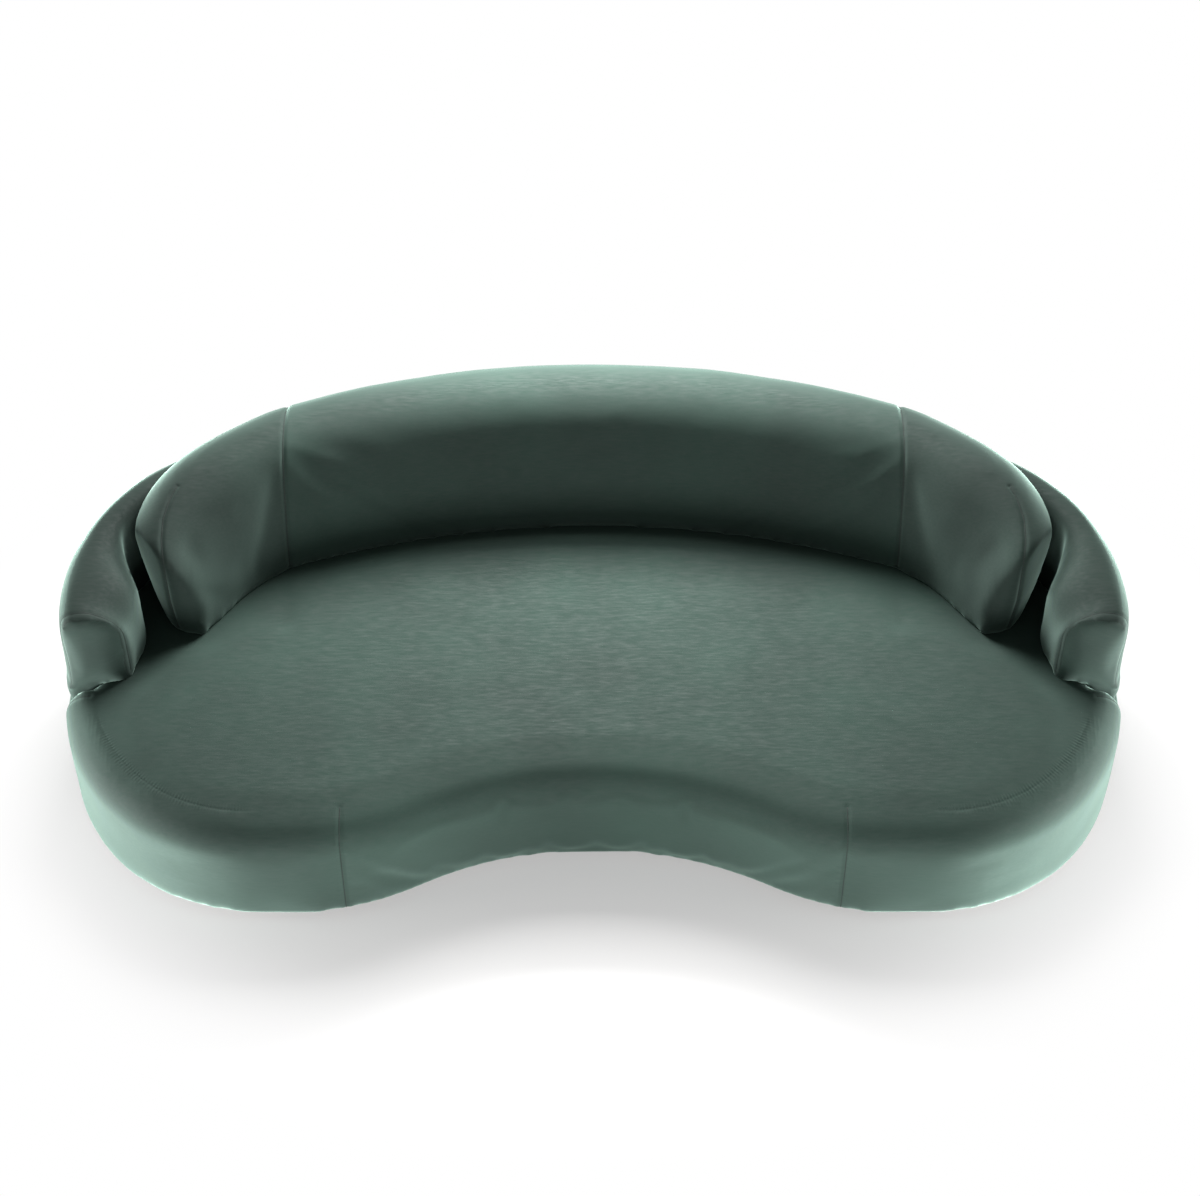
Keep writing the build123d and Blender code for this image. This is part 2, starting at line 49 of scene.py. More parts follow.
# Plan of the sofa's left half, in metres and degrees
back_centre = Vector((0, -1.550, 0))
back_radius = 2.250
back_turn = 119.8
end_centre = Vector((-0.830, -0.10085, 0))
end_radius = 0.580
lobe_centre = Vector((-0.890, -0.180, 0))
lobe_radius = 0.520
inner_lobe_centre = Vector((-0.770, -0.082, 0))
inner_lobe_radius = 0.618
dip_centre = Vector((0, -1.50476, 0))
dip_radius = 0.99976
dip_turn = 118.42
half_width = 1.410
half_depth = 0.700
arms_front_y = -0.2215
border_seam_x = 0.650
back_seam_x = 0.830
wall_middle = 0.056

# Levels, from the frame
seat_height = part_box("seat_cover")[1].z
border_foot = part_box("border_cover_rear")[0].z
border_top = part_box("border_cover_rear")[1].z
arm_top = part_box("arm_cover_left")[1].z
back_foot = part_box("back_cover_left")[0].z
shoulder_radius = seat_height - border_top


def left_plan(place):
    """A point's place in the plan, as on the left half."""
    return Vector((-abs(place.x), place.y, 0))


def end_turn(place):
    """Turn of a point about the centre of the plan's rear end, as on the left half."""
    return degrees(atan2(place.y - end_centre.y, -abs(place.x) - end_centre.x))


def inset_of(place):
    """How far in from the plan's edge a point lies."""
    spot = left_plan(place)
    if spot.y > end_centre.y:
        if end_turn(spot) < back_turn:
            return back_radius - (spot - back_centre).length
        return end_radius - (spot - end_centre).length
    if spot.y > lobe_centre.y:
        return spot.x + half_width
    if spot.x < lobe_centre.x:
        return lobe_radius - (spot - lobe_centre).length
    if spot.x < inner_lobe_centre.x:
        return spot.y + half_depth
    if degrees(atan2(spot.y - dip_centre.y, spot.x)) > dip_turn:
        return inner_lobe_radius - (spot - inner_lobe_centre).length
    return (spot - dip_centre).length - dip_radius


def inward_at(place):
    """Level direction from the edge of the back or an arm towards the seat."""
    centre = end_centre if abs(place.x) > -end_centre.x else back_centre
    if place.y > end_centre.y and end_turn(place) < back_turn:
        centre = back_centre
    middle_x = centre.x if place.x < 0 else -centre.x
    return Vector((middle_x - place.x, centre.y - place.y, 0)).normalized()


# Mesh helpers

def new_piece(label, bm):
    """A piece of the sofa with its place in its mesh."""
    mesh = bpy.data.meshes.new(label)
    bm.to_mesh(mesh)
    bm.free()
    piece = bpy.data.objects.new(label, mesh)
    scene.collection.objects.link(piece)
    return piece


def settle(piece):
    """Keeps what the piece's modifiers make as its own mesh."""
    graph = bpy.context.evaluated_depsgraph_get()
    made = bpy.data.meshes.new_from_object(piece.evaluated_get(graph), depsgraph=graph)
    made.name = piece.name
    piece.modifiers.clear()
    old = piece.data
    piece.data = made
    bpy.data.meshes.remove(old)


def soften(piece, rounds, group=""):
    """Evens out the piece, all of it or as far as a vertex group says."""
    step = piece.modifiers.new("soften", "SMOOTH")
    step.factor = 0.5
    step.iterations = rounds
    step.vertex_group = group
    settle(piece)


def add_nodes(bm, names):
    """Merged copies of the frame's solids."""
    for name in names:
        bm.from_mesh(nodes[name].data)
    bmesh.ops.remove_doubles(bm, verts=bm.verts, dist=0.00002)


def even_skin(piece, voxel, rounds):
    """One even skin round everything in the piece."""
    skin = piece.modifiers.new("skin", "REMESH")
    skin.mode = "VOXEL"
    skin.voxel_size = voxel
    soften(piece, rounds)


def round_off(piece, share, rounds):
    """Rounds the piece's edges, as far as a share is asked for at each point."""
    group = piece.vertex_groups.new(name="round")
    for v in piece.data.vertices:
        group.add([v.index], min(1, max(0, share(v.co))), "REPLACE")
    soften(piece, rounds, "round")
    piece.vertex_groups.clear()


def tree_of(*pieces):
    """A search tree over the faces of several objects."""
    verts, faces = [], []
    for piece in pieces:
        first = len(verts)
        verts += [v.co.copy() for v in piece.data.vertices]
        faces += [[first + i for i in p.vertices] for p in piece.data.polygons]
    return BVHTree.FromPolygons(verts, faces)


def smooth_shading(mesh):
    for face in mesh.polygons:
        face.use_smooth = True


def swell(piece, held, cap, start_in, pressure, rounds):
    """Cloth under pressure, held at the sewn lines and where the piece rests on others."""
    cloth_frames = 20
    mesh = piece.data
    shape = [v.co.copy() for v in mesh.vertices]
    for v, normal in zip(mesh.vertices, [v.normal.copy() for v in mesh.vertices]):
        v.co = v.co - normal * start_in
    group = piece.vertex_groups.new(name="held")
    for index, hold in enumerate(held):
        group.add([index], hold, "REPLACE")
    cloth = piece.modifiers.new("swell", "CLOTH")
    settings = cloth.settings
    settings.quality = 3
    settings.mass = 0.1
    settings.tension_stiffness = 12
    settings.compression_stiffness = 12
    settings.shear_stiffness = 6
    settings.bending_stiffness = 8
    settings.use_pressure = True
    settings.uniform_pressure_force = pressure
    settings.vertex_group_mass = "held"
    settings.effector_weights.gravity = 0
    cloth.collision_settings.use_collision = False
    for moment in range(1, cloth_frames + 1):
        scene.frame_set(moment)
    settle(piece)
    piece.vertex_groups.clear()
    for v, rest in zip(piece.data.vertices, shape):
        moved = v.co - rest
        if moved.length > cap:
            v.co = rest + moved * (cap / moved.length)
    scene.frame_set(1)
    soften(piece, rounds)


# Materials

def grey(level):
    return (level, level, level)


class Recipe:
    """A material with its shader and a few short ways to add nodes."""

    # Sockets of a colour mix: the two colours and the result
    mix_first, mix_second, mix_result = 6, 7, 2

    def __init__(self, label):
        self.material = bpy.data.materials.new(label)
        self.material.use_nodes = True
        self.tree = self.material.node_tree
        self.shader = self.tree.nodes["Principled BSDF"]
        self.place = self.node("ShaderNodeTexCoord").outputs["Object"]

    def node(self, kind, **values):
        made = self.tree.nodes.new(kind)
        for key, value in values.items():
            setattr(made, key, value)
        return made

    def link(self, source, target):
        self.tree.links.new(source, target)

    def stretch(self, scale):
        mapping = self.node("ShaderNodeMapping")
        mapping.inputs["Scale"].default_value = scale
        self.link(self.place, mapping.inputs["Vector"])
        return mapping.outputs["Vector"]

    def grain(self, scale, detail, stretch=(1, 1, 1)):
        made = self.node("ShaderNodeTexNoise")
        made.inputs["Scale"].default_value = scale
        made.inputs["Detail"].default_value = detail
        self.link(self.stretch(stretch), made.inputs["Vector"])
        return made.outputs["Fac"]

    def ramp(self, fac, *stops):
        made = self.node("ShaderNodeValToRGB")
        stripe = made.color_ramp
        while len(stripe.elements) < len(stops):
            stripe.elements.new(0.5)
        for element, (place, colour) in zip(stripe.elements, stops):
            element.position = place
            element.color = (*colour, 1)
        self.link(fac, made.inputs["Fac"])
        return made.outputs["Color"]

    def multiply(self, first, second):
        made = self.node("ShaderNodeMix", data_type="RGBA", blend_type="MULTIPLY")
        made.inputs["Factor"].default_value = 1
        self.link(first, made.inputs[self.mix_first])
        self.link(second, made.inputs[self.mix_second])
        return made.outputs[self.mix_result]

    def math(self, kind, first, second):
        made = self.node("ShaderNodeMath", operation=kind)
        self.link(first, made.inputs[0])
        if isinstance(second, (int, float)):
            made.inputs[1].default_value = second
        else:
            self.link(second, made.inputs[1])
        return made.outputs["Value"]

    def blend(self, first, second):
        """Seven parts of one value to three of another."""
        return self.math("ADD", self.math("MULTIPLY", first, 0.7), self.math("MULTIPLY", second, 0.3))

    def bump(self, height, strength, distance):
        made = self.node("ShaderNodeBump")
        made.inputs["Strength"].default_value = strength
        made.inputs["Distance"].default_value = distance
        self.link(height, made.inputs["Height"])
        self.link(made.outputs["Normal"], self.shader.inputs["Normal"])

    def feed(self, **sources):
        for key, source in sources.items():
            self.link(source, self.shader.inputs[key.replace("_", " ")])

    def socket(self, **values):
        for key, value in values.items():
            self.shader.inputs[key.replace("_", " ")].default_value = value


def velvet_recipe(label, shade_scale):
    """Short dense pile with faint brush marks across; the scale given darkens its colour and sheen together,
    as painted shade for a part that falls darker.
    """
    r = Recipe(label)
    # Both pile colours are scaled down by the same number, as painted shade.
    dark = (0.0085 * shade_scale, 0.0205 * shade_scale, 0.0155 * shade_scale)
    light = (0.0125 * shade_scale, 0.0305 * shade_scale, 0.0228 * shade_scale)
    patches = r.ramp(r.grain(scale=2.6, detail=3), (0.35, dark), (0.68, light))
    brush = r.grain(scale=30, detail=5, stretch=(1, 6, 6))
    marks = r.ramp(brush, (0.38, (0.90, 0.91, 0.905)), (0.62, (1, 1, 1)))
    pile = r.grain(scale=420, detail=2)
    flecks = r.ramp(pile, (0.3, (0.84, 0.86, 0.85)), (0.7, (1, 1, 1)))
    r.feed(Base_Color=r.multiply(r.multiply(patches, marks), flecks),
           Roughness=r.ramp(brush, (0.3, grey(0.72)), (0.7, grey(0.9))))
    r.socket(Specular_IOR_Level=0.25, Sheen_Weight=shade_scale, Sheen_Roughness=0.42,
             Sheen_Tint=(0.54, 0.78, 0.68, 1))
    r.bump(r.blend(brush, pile), strength=0.12, distance=0.0004)
    return r.material


def plain_recipe(label, dark, light, rough, scale, stretch=(1, 1, 1), metallic=0.0):
    """A surface with grain in its colour, gloss and relief."""
    r = Recipe(label)
    coarse = r.grain(scale, 6, stretch)
    fine = r.grain(scale * 7, 3, stretch)
    mixed = r.blend(coarse, fine)
    r.feed(Base_Color=r.ramp(mixed, (0.3, dark), (0.7, light)),
           Roughness=r.ramp(fine, (0.3, grey(rough - 0.08)), (0.7, grey(rough + 0.08))))
    r.socket(Metallic=metallic)
    r.bump(mixed, strength=0.3, distance=0.0006)
    return r.material


def woven_recipe(label, dark, light, pitch):
    """A plain weave of two crossing sets of threads."""
    r = Recipe(label)
    waves = []
    for direction in ("X", "Y"):
        wave = r.node("ShaderNodeTexWave", bands_direction=direction)
        wave.inputs["Scale"].default_value = 1 / pitch
        wave.inputs["Distortion"].default_value = 0.6
        r.link(r.place, wave.inputs["Vector"])
        waves.append(wave.outputs["Fac"])
    weave = r.math("MULTIPLY", *waves)
    r.feed(Base_Color=r.ramp(weave, (0.1, dark), (0.8, light)),
           Roughness=r.ramp(r.grain(scale=60, detail=3), (0.3, grey(0.82)), (0.7, grey(0.95))))
    r.bump(weave, strength=0.4, distance=0.0005)
    return r.material


# The back, its ends and the arms get darker copies of the velvet, colour and sheen scaled down, as painted
# shade where these parts fall darker.
velvet = velvet_recipe("green_velvet", shade_scale=1.0)
shaded_back_velvet = velvet_recipe("green_velvet_back", shade_scale=0.85)
shaded_end_velvet = velvet_recipe("green_velvet_back_ends", shade_scale=0.62)
shaded_arm_velvet = velvet_recipe("green_velvet_arms", shade_scale=0.55)
# The seam tubes are near black, as painted shadow in the sewn creases.
painted_seam_shadow = plain_recipe("seam_shadow", (0.004, 0.007, 0.006), (0.012, 0.018, 0.015), rough=0.9, scale=300)
foam = plain_recipe("foam", (0.62, 0.55, 0.36), (0.74, 0.67, 0.48), rough=0.9, scale=90)
wadding = plain_recipe("wadding", (0.72, 0.72, 0.70), (0.86, 0.86, 0.84), rough=0.95, scale=60)
bottom_cloth = woven_recipe("bottom_cloth", (0.006, 0.006, 0.007), (0.022, 0.022, 0.024), pitch=0.003)
webbing = woven_recipe("webbing", (0.020, 0.018, 0.016), (0.070, 0.060, 0.050), pitch=0.006)
plywood = plain_recipe("plywood", (0.42, 0.27, 0.14), (0.60, 0.43, 0.25), rough=0.6, scale=14,
                       stretch=(0.6, 7, 7))
beech = plain_recipe("beech", (0.45, 0.26, 0.13), (0.62, 0.40, 0.22), rough=0.5, scale=18,
                     stretch=(0.5, 8, 8))
foot_plastic = plain_recipe("foot_plastic", grey(0.006), grey(0.016), rough=0.5, scale=160)
zinc_steel = plain_recipe("zinc_steel", (0.48, 0.49, 0.50), (0.66, 0.67, 0.68), rough=0.38, scale=120,
                          metallic=1.0)

# The solids' finishes by the first words of their names; all the others are velvet
finishes = (
    ("feet", foot_plastic), ("dust_cover", bottom_cloth), ("straps", webbing),
    ("foot_screws", zinc_steel), ("frame_bolts", zinc_steel), ("back_posts", beech), ("top_rail", beech),
    ("base_wadding", wadding), ("seat_foam", foam), ("arm_pad", foam), ("back_pad", foam),
    ("wall_pad", foam), ("rear_pad", foam), ("base_", plywood), ("deck_panel", plywood),
    ("side_board", plywood), ("back_board", plywood),
)
for name, solid in nodes.items():
    fitting = [finish for word, finish in finishes if name.startswith(word)]
    solid.data.materials.clear()
    solid.data.materials.append(fitting[0] if fitting else velvet)


# The base: seat, shoulder and border in one padded form

def sweep(bm, vert, centre, turn):
    """Carries the outline on round an arc, and gives the vertex where it ends."""
    arc_step = 0.02
    reach = (vert.co - centre).xy.length
    steps = max(3, round(reach * abs(turn) / arc_step))
    made = bmesh.ops.spin(bm, geom=[vert], cent=centre, axis=(0, 0, 1), angle=turn, steps=steps)
    return [v for v in made["geom_last"] if isinstance(v, bmesh.types.BMVert)][0]


def carry(bm, vert, place):
    """Carries the outline on along a straight line."""
    made = bmesh.ops.extrude_vert_indiv(bm, verts=[vert])
    made["verts"][0].co = place
    return made["verts"][0]


def kidney_block(bm, low, high, edge):
    """The sofa's plan as a block with rounded upper and lower edges."""
    weld = 0.0005
    lift = Vector((0, 0, low))
    at = bm.verts.new((0, back_centre.y + back_radius, low))
    at = sweep(bm, at, back_centre + lift, radians(back_turn - 90))
    at = sweep(bm, at, end_centre + lift, radians(180 - back_turn))
    at = carry(bm, at, lobe_centre + lift + Vector((-lobe_radius, 0, 0)))
    at = sweep(bm, at, lobe_centre + lift, radians(90))
    at = carry(bm, at, inner_lobe_centre + lift + Vector((0, -inner_lobe_radius, 0)))
    at = sweep(bm, at, inner_lobe_centre + lift, radians(dip_turn - 90))
    sweep(bm, at, dip_centre + lift, -radians(dip_turn - 90))
    bmesh.ops.mirror(bm, geom=bm.verts[:] + bm.edges[:], axis="X", merge_dist=weld)
    bmesh.ops.remove_doubles(bm, verts=bm.verts, dist=weld)
    face = bmesh.ops.contextual_create(bm, geom=bm.edges[:])["faces"][0]
    raised = bmesh.ops.extrude_face_region(bm, geom=[face])["geom"]
    top = [v for v in raised if isinstance(v, bmesh.types.BMVert)]
    bmesh.ops.translate(bm, verts=top, vec=(0, 0, high - low))
    bmesh.ops.recalc_face_normals(bm, faces=bm.faces)
    rims = [e for e in bm.edges if abs(e.verts[0].co.z - e.verts[1].co.z) < 0.0001]
    bmesh.ops.bevel(bm, geom=rims, offset=edge, segments=3, profile=0.5, affect="EDGES", material=-1)


block_rise = 0.004
shell = bmesh.new()
kidney_block(shell, low=border_foot, high=border_top + block_rise, edge=0.014)
add_nodes(shell, ("seat_cover", "seat_foam", "border_cover_front", "border_cover_left", "border_cover_right"))
base = new_piece("seat", shell)
even_skin(base, voxel=0.012, rounds=5)

back_words = ("back_cover", "back_pad", "back_end", "rear_")
shell = bmesh.new()
add_nodes(shell, [*[n for n in nodes if n.startswith(back_words)], "back_board", "top_rail", "back_posts"])
back = new_piece("back", shell)
even_skin(back, voxel=0.0125, rounds=3)

arm_words = ("arm_cover", "arm_pad", "arm_end", "wall_cover", "wall_pad")
arms = {}
for side in ("left", "right"):
    shell = bmesh.new()
    add_nodes(shell, [*[f"{word}_{side}" for word in arm_words], f"side_board_{side}"])
    arms[side] = new_piece(f"arm_{side}", shell)
    even_skin(arms[side], voxel=0.010, rounds=3)

# The sewn end of the back faces outwards, towards the arm
nose_edge = Vector((-1.116, -0.039, 0))
nose_outward = Vector((-0.81, -0.586, 0)).normalized()
nose_from_x, nose_to_y = -0.9, 0.16
for v in back.data.vertices:
    spot = left_plan(v.co)
    beyond = (spot - nose_edge).dot(nose_outward)
    if spot.x < nose_from_x and spot.y < nose_to_y and beyond > 0:
        shift = nose_outward * beyond
        v.co -= Vector((shift.x if v.co.x < 0 else -shift.x, shift.y, 0))

# The back's ends rest on the wall's round top: their lower edge tucks into it
tuck_slack = 0.004
for v in back.data.vertices:
    inset = inset_of(v.co)
    low_end = abs(v.co.x) > back_seam_x + tuck_slack and v.co.z < arm_top - tuck_slack
    if low_end and inset < wall_middle:
        v.co += inward_at(v.co) * (wall_middle - inset)

# The arm's front is rounded at its inner corner
panel_out, panel_in = Vector((-0.978, -0.208, 0)), Vector((-0.208, 0.978, 0))
panel_reach = 0.382
panel_corner = end_centre + panel_out * panel_reach
corner_radius = 0.055
for arm in arms.values():
    for v in arm.data.vertices:
        side = 1 if v.co.x < 0 else -1
        spot = Vector((v.co.x * side, v.co.y, 0)) - panel_corner
        off = Vector((corner_radius - spot.dot(panel_out), corner_radius - spot.dot(panel_in)))
        if off.x > 0 and off.y > 0 and corner_radius < off.length < 2 * corner_radius:
            pull = off * (1 - corner_radius / off.length)
            shift = panel_out * pull.x + panel_in * pull.y
            v.co += Vector((shift.x * side, shift.y, 0))

# The wall and the lower rear stand a little in from the border's upper edge
ledge_setback = 0.007
ledge_reach = 0.05
ledge_rise = 0.07
ledge_fade = 0.05
for piece in (back, *arms.values()):
    for v in piece.data.vertices:
        if v.co.z < border_top + ledge_rise and inset_of(v.co) < ledge_reach:
            share = min(1, (border_top + ledge_rise - v.co.z) / ledge_fade)
            v.co += inward_at(v.co) * ledge_setback * share

# The wall's rear ends close up against the back's middle length
close_reach = 0.03
close_shift = 0.016
for arm in arms.values():
    for v in arm.data.vertices:
        if abs(v.co.x) < back_seam_x + close_reach:
            side = 1 if v.co.x > 0 else -1
            v.co.x -= close_shift * side * (back_seam_x + close_reach - abs(v.co.x)) / close_reach


def foot_share(place):
    """The edge that stands on the seat stays as it is."""
    least, start, fade = 0.03, 0.01, 0.08
    return min(1, max(least, (place.z - back_foot - start) / fade))


def nose_share(place):
    """The back's blunt end, in front of its sewn edge, is well rounded."""
    nose_height, spread = 0.35, 0.06
    foot_x, foot_y = -1.045, -0.030
    lean_x, lean_y = 0.071, 0.009
    rise = (place.z - back_foot) / nose_height
    corner = Vector((foot_x - lean_x * rise, foot_y - lean_y * rise, 0))
    far = (left_plan(place) - corner).length
    return exp(-(far / spread) ** 2) * foot_share(place)


def arm_share(place):
    """The arm is rounder the nearer to its front, but keeps its foot on the seat."""
    least, start_y, fade = 0.3, 0.25, 0.15
    return min(1, max(least, (start_y - place.y) / fade)) * foot_share(place)


round_off(back, nose_share, rounds=60)
for arm in arms.values():
    round_off(arm, arm_share, rounds=60)

# What stands on the seat sinks a little into it
sink = 0.014
sink_from, sink_to = back_foot - 0.012, back_foot + 0.014
sink_inset = 0.105
for piece in (back, *arms.values()):
    for v in piece.data.vertices:
        if sink_from < v.co.z < sink_to and inset_of(v.co) > sink_inset:
            v.co.z -= sink


def grip(piece, others, reach, sewn):
    """How firmly each point is held: near other pieces and at the sewn lines."""
    seam_hold, seam_reach = 1.6, 0.010
    near = tree_of(*others)
    held = []
    for v in piece.data.vertices:
        far = near.find_nearest(v.co, reach * 2)[3]
        hold = 0 if far is None else min(1, max(0, 2 - far / reach))
        held.append(max(hold, min(1, max(0, seam_hold - sewn(v.co) / seam_reach))))
    return held


def base_sewn(place):
    """Distance to the base's sewn lines: the border's upright seams, its foot and the seat's edge."""
    foot_band, edge_band, edge_ease, top_slack = 0.015, 0.01, 0.005, 0.004
    away = place.z - border_foot - foot_band
    if place.y < 0 and place.z < seat_height - top_slack:
        away = min(away, abs(abs(place.x) - border_seam_x))
    if place.y > 0:
        away = min(away, abs(abs(place.x) - back_seam_x))
    if place.y < arms_front_y and place.z > seat_height - edge_band:
        away = min(away, edge_ease + abs(inset_of(place) - shoulder_radius))
    return max(0, away)


def back_sewn(place):
    """Distance to the back's upright seams."""
    return abs(abs(place.x) - back_seam_x)


def arm_sewn(place):
    """No seam holds the arm in."""
    return 1


held_base = grip(base, [back, *arms.values()], reach=0.02, sewn=base_sewn)
held_back = grip(back, [base, *arms.values()], reach=0.015, sewn=back_sewn)
held_arms = {side: grip(arm, [base, back], reach=0.015, sewn=arm_sewn) for side, arm in arms.items()}
swell(base, held_base, cap=0.005, start_in=0.003, pressure=3, rounds=2)
swell(back, held_back, cap=0.004, start_in=0.002, pressure=1.2, rounds=10)
for side, arm in arms.items():
    swell(arm, held_arms[side], cap=0.006, start_in=0.003, pressure=3, rounds=4)

# The back and the arms are subdivided once
for piece in (back, *arms.values()):
    finer = piece.modifiers.new("finer", "SUBSURF")
    finer.levels = finer.render_levels = 1
    settle(piece)
for piece in (base, back, *arms.values()):
    smooth_shading(piece.data)

# The seat's edge is drawn up where it meets the arm's front
drawn_spot = Vector((-1.360, -0.225, 0))
drawn_reach = 0.05
drawn_rise = 0.010
drawn_edge, drawn_depth = 0.01, 0.05
for v in base.data.vertices:
    far = (left_plan(v.co) - drawn_spot).length
    if v.co.z > border_top:
        below = seat_height - v.co.z + drawn_edge
        v.co.z += drawn_rise * exp(-(far / drawn_reach) ** 2) * below / drawn_depth

# Gathers along the seat's sewn edge, on the two lobes
gather_from, gather_to = radians(196), radians(274)
gather_ends = 0.2
gather_pitch = 0.0105
gather_reach = 0.013
gather_depth = 0.0005
gather_drop = 0.05
gather_cuts = 3
fold_wander, wander_waves = 3, 9
fold_least, fold_spread, fold_waves, fold_row = 0.55, 0.45, 23, 7
edge_line_depth = 0.0008
edge_line_width = 0.004

# The underside lies a little above the border's lower edge
underside_band = 0.008
underside_rise = 0.009
underside_inset = 0.016


def lobe_turn(place):
    """Turn of a point about its lobe's centre, from +X, as on the left lobe."""
    return atan2(place.y - lobe_centre.y, -abs(place.x) - lobe_centre.x) % (2 * pi)


def in_gathers(place, margin):
    """Whether a point lies on the gathered length, within a margin of the sewn edge."""
    if place.z < seat_height - gather_drop or not gather_from < lobe_turn(place) < gather_to:
        return False
    return abs(inset_of(place) - shoulder_radius) < margin


bm = bmesh.new()
bm.from_mesh(base.data)
low = {v for v in bm.verts if v.co.z < border_foot + underside_band and inset_of(v.co) > underside_inset}
for v in low:
    v.co.z = border_foot + underside_rise
under = [f for f in bm.faces if all(v in low for v in f.verts)]
bmesh.ops.dissolve_faces(bm, faces=under, use_verts=False)
for cut in range(gather_cuts):
    close = [f for f in bm.faces if in_gathers(f.calc_center_median(), 3 * gather_reach)]
    edges = list({e for f in close for e in f.edges})
    bmesh.ops.subdivide_edges(bm, edges=edges, cuts=1, use_grid_fill=True)
bm.normal_update()
shifts = []
for v in bm.verts:
    if not in_gathers(v.co, 4 * gather_reach):
        continue
    turn = lobe_turn(v.co)
    along = turn * lobe_radius
    across = inset_of(v.co) - shoulder_radius
    wander = fold_wander * noise.noise(Vector((along * wander_waves, v.co.x, 0)))
    height = fold_least + fold_spread * noise.noise(Vector((along * fold_waves, fold_row, 0)))
    fold = sin(2 * pi * along / gather_pitch + wander) * height
    fade = exp(-(across / gather_reach) ** 2)
    ends = min(1, (turn - gather_from) / gather_ends, (gather_to - turn) / gather_ends)
    line = -edge_line_depth * exp(-(across / edge_line_width) ** 2)
    shifts.append((v, v.normal * (gather_depth * fold * fade + line) * ends))
for v, shift in shifts:
    v.co += shift
bm.to_mesh(base.data)
bm.free()

# Slight unevenness of the stuffing, in broad and in smaller waves
broad_waves, small_waves = 4.5, 11
for piece, depth in ((base, 0.0016), (back, 0.0022), *[(arm, 0.0022) for arm in arms.values()]):
    normals = [v.normal.copy() for v in piece.data.vertices]
    for v, normal in zip(piece.data.vertices, normals):
        wave = noise.noise(v.co * broad_waves) + 0.5 * noise.noise(v.co * small_waves)
        v.co += normal * depth * wave


# Sewn lines: fine creases that lie in the cover, each with a near-black tube in it as painted shadow

def crease(label, runs, width, depth):
    """Dents the pieces along some paths and lays a fine near-black tube in each dent as painted shadow, all
    as one mesh.
    """
    spot_step = 0.003
    cut_reach, cut_length = 0.022, 0.004
    dent_reach, dent_width = 0.02, 0.007
    tube_depth = 0.9
    line = bpy.data.curves.new(label, "CURVE")
    line.dimensions = "3D"
    line.bevel_depth = width / 2
    line.bevel_resolution = 1
    line.use_fill_caps = True
    for piece, path in runs:
        path = [p for p in path if p]
        spots = []
        for first, second in zip(path, path[1:]):
            steps = max(1, round((second - first).length / spot_step))
            spots += [first.lerp(second, k / steps) for k in range(steps)]
        near = KDTree(len(spots))
        for index, spot in enumerate(spots):
            near.insert(spot, index)
        near.balance()
        bm = bmesh.new()
        bm.from_mesh(piece.data)
        close = [f for f in bm.faces if near.find(f.calc_center_median())[2] < cut_reach]
        edges = list({e for f in close for e in f.edges if e.calc_length() > cut_length})
        bmesh.ops.subdivide_edges(bm, edges=edges, cuts=2, use_grid_fill=True)
        bm.normal_update()
        bm.to_mesh(piece.data)
        bm.free()
        surface = tree_of(piece)
        spline = line.splines.new("POLY")
        spline.points.add(len(spots) - 1)
        for point, spot in zip(spline.points, spots):
            place, normal = surface.find_nearest(spot)[:2]
            point.co = (*(place - normal * depth * tube_depth), 1)
        shifts = []
        for v in piece.data.vertices:
            far = near.find(v.co)[2]
            if far < dent_reach:
                shifts.append((v, v.normal * depth * exp(-(far / dent_width) ** 2)))
        for v, shift in shifts:
            v.co -= shift
    drawn = bpy.data.objects.new(label, line)
    scene.collection.objects.link(drawn)
    graph = bpy.context.evaluated_depsgraph_get()
    mesh = bpy.data.meshes.new_from_object(drawn.evaluated_get(graph), depsgraph=graph)
    bpy.data.objects.remove(drawn)
    bm = bmesh.new()
    bm.from_mesh(mesh)
    bmesh.ops.remove_doubles(bm, verts=bm.verts, dist=0.00002)
    bm.to_mesh(mesh)
    bm.free()
    made = bpy.data.objects.new(label, mesh)
    scene.collection.objects.link(made)
    smooth_shading(mesh)
    mesh.materials.clear()
    mesh.materials.append(painted_seam_shadow)
    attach(made, "root")


def touched(tree, start, aim):
    """Where a straight line from a start towards an aim first meets a piece."""
    return tree.ray_cast(start, (aim - start).normalized())[0]


def level_touch(tree, x, from_y, z):
    """Where a level line from before or behind the sofa first meets a piece."""
    return touched(tree, Vector((x, from_y, z)), Vector((x, 0, z)))


def arc_touches(tree, middle, facing, turns, reach):
    """Where lines in towards a middle, from an arc that starts on its facing side, first meet a piece."""
    path = []
    for turn in turns:
        outward = facing * cos(radians(turn)) + Vector((0, 0, sin(radians(turn))))
        path.append(touched(tree, middle + outward * reach, middle))
    return path


def both_sides(path, left, right):
    """A path on the left piece and its mirror image on the right one."""
    return [(left, path), (right, [Vector((-p.x, p.y, p.z)) for p in path if p])]


base_tree, back_tree, arm_tree = tree_of(base), tree_of(back), tree_of(arms["left"])
front_y, rear_y = -2, 2
to_front, to_left = Vector((0, -1, 0)), Vector((-1, 0, 0))
roll_reach = 0.4
wall_level = 0.2
seam_foot = 0.006
front_steps, rear_steps = 12, 8

# The border's upright seams: up the front and over the shoulder, and up the rear
front_wall = level_touch(base_tree, -border_seam_x, front_y, wall_level)
roll_centre = Vector((-border_seam_x, front_wall.y, border_top))
roll_centre.y += shoulder_radius
path = []
for step in range(front_steps + 1):
    z = border_foot + seam_foot + step * (border_top - border_foot - seam_foot) / front_steps
    path.append(level_touch(base_tree, -border_seam_x, front_y, z))
path += arc_touches(base_tree, roll_centre, to_front, range(6, 91, 6), roll_reach)
rear_path = []
for step in range(rear_steps + 1):
    z = border_foot + seam_foot + step * (border_top - border_foot - 2 * seam_foot) / rear_steps
    rear_path.append(level_touch(base_tree, -back_seam_x, rear_y, z))
crease("border_seams", [*both_sides(path, base, base), *both_sides(rear_path, base, base)],
       width=0.0018, depth=0.0025)

